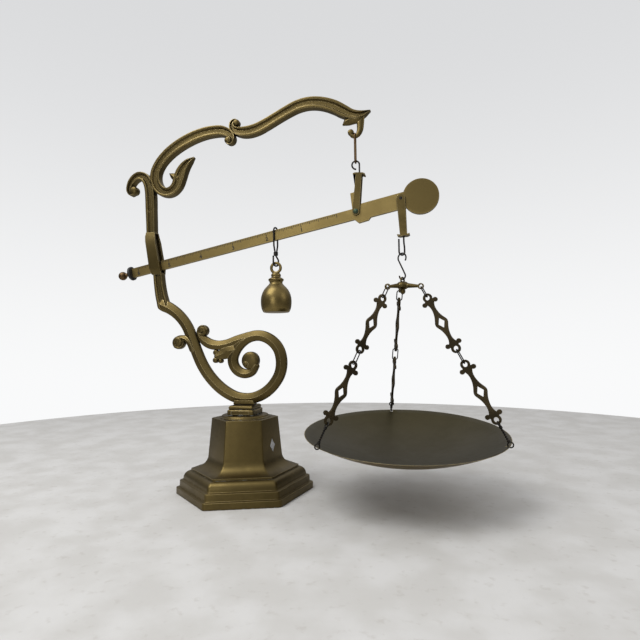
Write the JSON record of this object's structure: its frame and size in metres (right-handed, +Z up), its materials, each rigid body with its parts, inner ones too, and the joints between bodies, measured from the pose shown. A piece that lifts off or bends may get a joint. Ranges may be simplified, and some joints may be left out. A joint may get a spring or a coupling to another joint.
{
  "type": "steelyard scale",
  "caption": "Brass steelyard scale on a hexagonal pedestal: graduated beam with a sliding bell-shaped poise and a round pan on ornamental chains.",
  "frame": {"origin": "centre of the pedestal's underside, on the surface it stands on", "axes": "+Z up; +X along the arm and the beam from the pedestal towards the pan; +Y towards the back"},
  "size_m": [0.4495, 0.2096, 0.4428],
  "materials": {
    "base_brass": "aged dark olive cast brass with worn bright edges",
    "scroll_brass": "aged cast brass, rubbed bright on the ridges",
    "beam_brass": "satin yellow brass, cleaner than the castings",
    "poise_brass": "turned brass with a soft sheen",
    "pan_brass": "brushed sheet brass, dull olive inside",
    "link_brass": "dark brown cast brass links",
    "dark_wire": "blackened iron wire",
    "steel_fixing": "dull steel fixings",
    "black_washer": "matt black"
  },
  "bodies": {
    "stand": {"pedestal": "base_brass", "foot_block": "base_brass", "stand_washer": "steel_fixing", "stand_bolt": "steel_fixing", "lower_scroll": "scroll_brass", "beam_guard": "scroll_brass", "gooseneck_arm": "scroll_brass", "lower_guard_stud": "steel_fixing", "upper_guard_stud": "steel_fixing"},
    "link": {"hook_link": "link_brass"},
    "fulcrum": {"fulcrum_hook": "dark_wire", "fulcrum_shackle": "beam_brass"},
    "beam": {"beam_bar": "beam_brass", "balance_tongue": "beam_brass", "fulcrum_pin": "beam_brass", "load_pin": "beam_brass", "stop_washer": "black_washer", "tip_ball": "beam_brass"},
    "poise_bail": {"poise_hook": "dark_wire"},
    "poise": {"poise_weight": "poise_brass"},
    "load_strap": {"load_shackle": "beam_brass"},
    "load_j": {"load_hook": "dark_wire"},
    "load_s": {"s_hook": "dark_wire"},
    "hanger": {"pan_spider": "poise_brass", "pan": "pan_brass", "spider_wire_back": "dark_wire", "spider_wire_left": "dark_wire", "spider_wire_right": "dark_wire", "chain_wire_back": "dark_wire", "chain_wire_left": "dark_wire", "chain_wire_right": "dark_wire", "pan_wire_back": "dark_wire", "pan_wire_left": "dark_wire", "pan_wire_right": "dark_wire"},
    "link_back_upper": {"chain_link_back_upper": "link_brass"},
    "link_back_lower": {"chain_link_back_lower": "link_brass"},
    "link_left_upper": {"chain_link_left_upper": "link_brass"},
    "link_left_lower": {"chain_link_left_lower": "link_brass"},
    "link_right_upper": {"chain_link_right_upper": "link_brass"},
    "link_right_lower": {"chain_link_right_lower": "link_brass"}
  },
  "joints": [
    {"name": "link_swing", "type": "hinge", "parent": "stand", "child": "link", "pos_m": [0.132, 0, 0.3953], "axis": [0, 1, 0], "range_deg": [-8, 8]},
    {"name": "shackle_swing", "type": "hinge", "parent": "link", "child": "fulcrum", "pos_m": [0.132, 0, 0.3622], "axis": [0, 1, 0], "range_deg": [-8, 8]},
    {"name": "beam_tilt", "type": "hinge", "parent": "fulcrum", "child": "beam", "pos_m": [0.132, 0, 0.307], "axis": [0, 1, 0], "range_deg": [0, 7.5]},
    {"name": "poise_slide", "type": "slide", "parent": "beam", "child": "poise_bail", "axis": [0.9829, 0, 0.184], "range_m": [-0.05, 0.075]},
    {"name": "poise_swing", "type": "hinge", "parent": "poise_bail", "child": "poise", "pos_m": [0.0384, 0, 0.2559], "axis": [0, 1, 0], "range_deg": [-10, 10]},
    {"name": "load_shackle_swing", "type": "hinge", "parent": "beam", "child": "load_strap", "pos_m": [0.18073, 0, 0.31734], "axis": [0, 1, 0], "range_deg": [-7.5, 0]},
    {"name": "load_hook_turn", "type": "hinge", "parent": "load_strap", "child": "load_j", "pos_m": [0.18259, 0, 0.2775], "axis": [0, 0, 1], "continuous": true},
    {"name": "s_hook_swing", "type": "hinge", "parent": "load_j", "child": "load_s", "pos_m": [0.1803, 0, 0.2569], "axis": [0.766, 0.6428, 0], "range_deg": [-12, 12]},
    {"name": "pan_swing", "type": "hinge", "parent": "load_s", "child": "hanger", "pos_m": [0.1803, 0, 0.23075], "axis": [0.866, -0.5, 0], "range_deg": [-10, 10]},
    {"name": "link_twist_back_upper", "type": "hinge", "parent": "hanger", "child": "link_back_upper", "pos_m": [0.17027, 0.04136, 0.18382], "axis": [-0.1247, 0.4931, -0.861], "range_deg": [-15, 15]},
    {"name": "link_twist_back_lower", "type": "hinge", "parent": "hanger", "child": "link_back_lower", "pos_m": [0.1606, 0.07957, 0.11709], "axis": [-0.1247, 0.4931, -0.861], "range_deg": [-15, 15]},
    {"name": "link_twist_left_upper", "type": "hinge", "parent": "hanger", "child": "link_left_upper", "pos_m": [0.1499, -0.02833, 0.18324], "axis": [-0.3556, -0.3312, -0.874], "range_deg": [-15, 15]},
    {"name": "link_twist_left_lower", "type": "hinge", "parent": "hanger", "child": "link_left_lower", "pos_m": [0.12235, -0.05399, 0.1155], "axis": [-0.3556, -0.3312, -0.874], "range_deg": [-15, 15]},
    {"name": "link_twist_right_upper", "type": "hinge", "parent": "hanger", "child": "link_right_upper", "pos_m": [0.21938, -0.0123, 0.18292], "axis": [0.45, -0.1456, -0.8811], "range_deg": [-15, 15]},
    {"name": "link_twist_right_lower", "type": "hinge", "parent": "hanger", "child": "link_right_lower", "pos_m": [0.25426, -0.02359, 0.11464], "axis": [0.45, -0.1456, -0.8811], "range_deg": [-15, 15]}
  ],
  "couplings": [
    {"joint": "shackle_swing", "follows": "link_swing", "ratio": -1},
    {"joint": "load_shackle_swing", "follows": "beam_tilt", "ratio": -1}
  ]
}
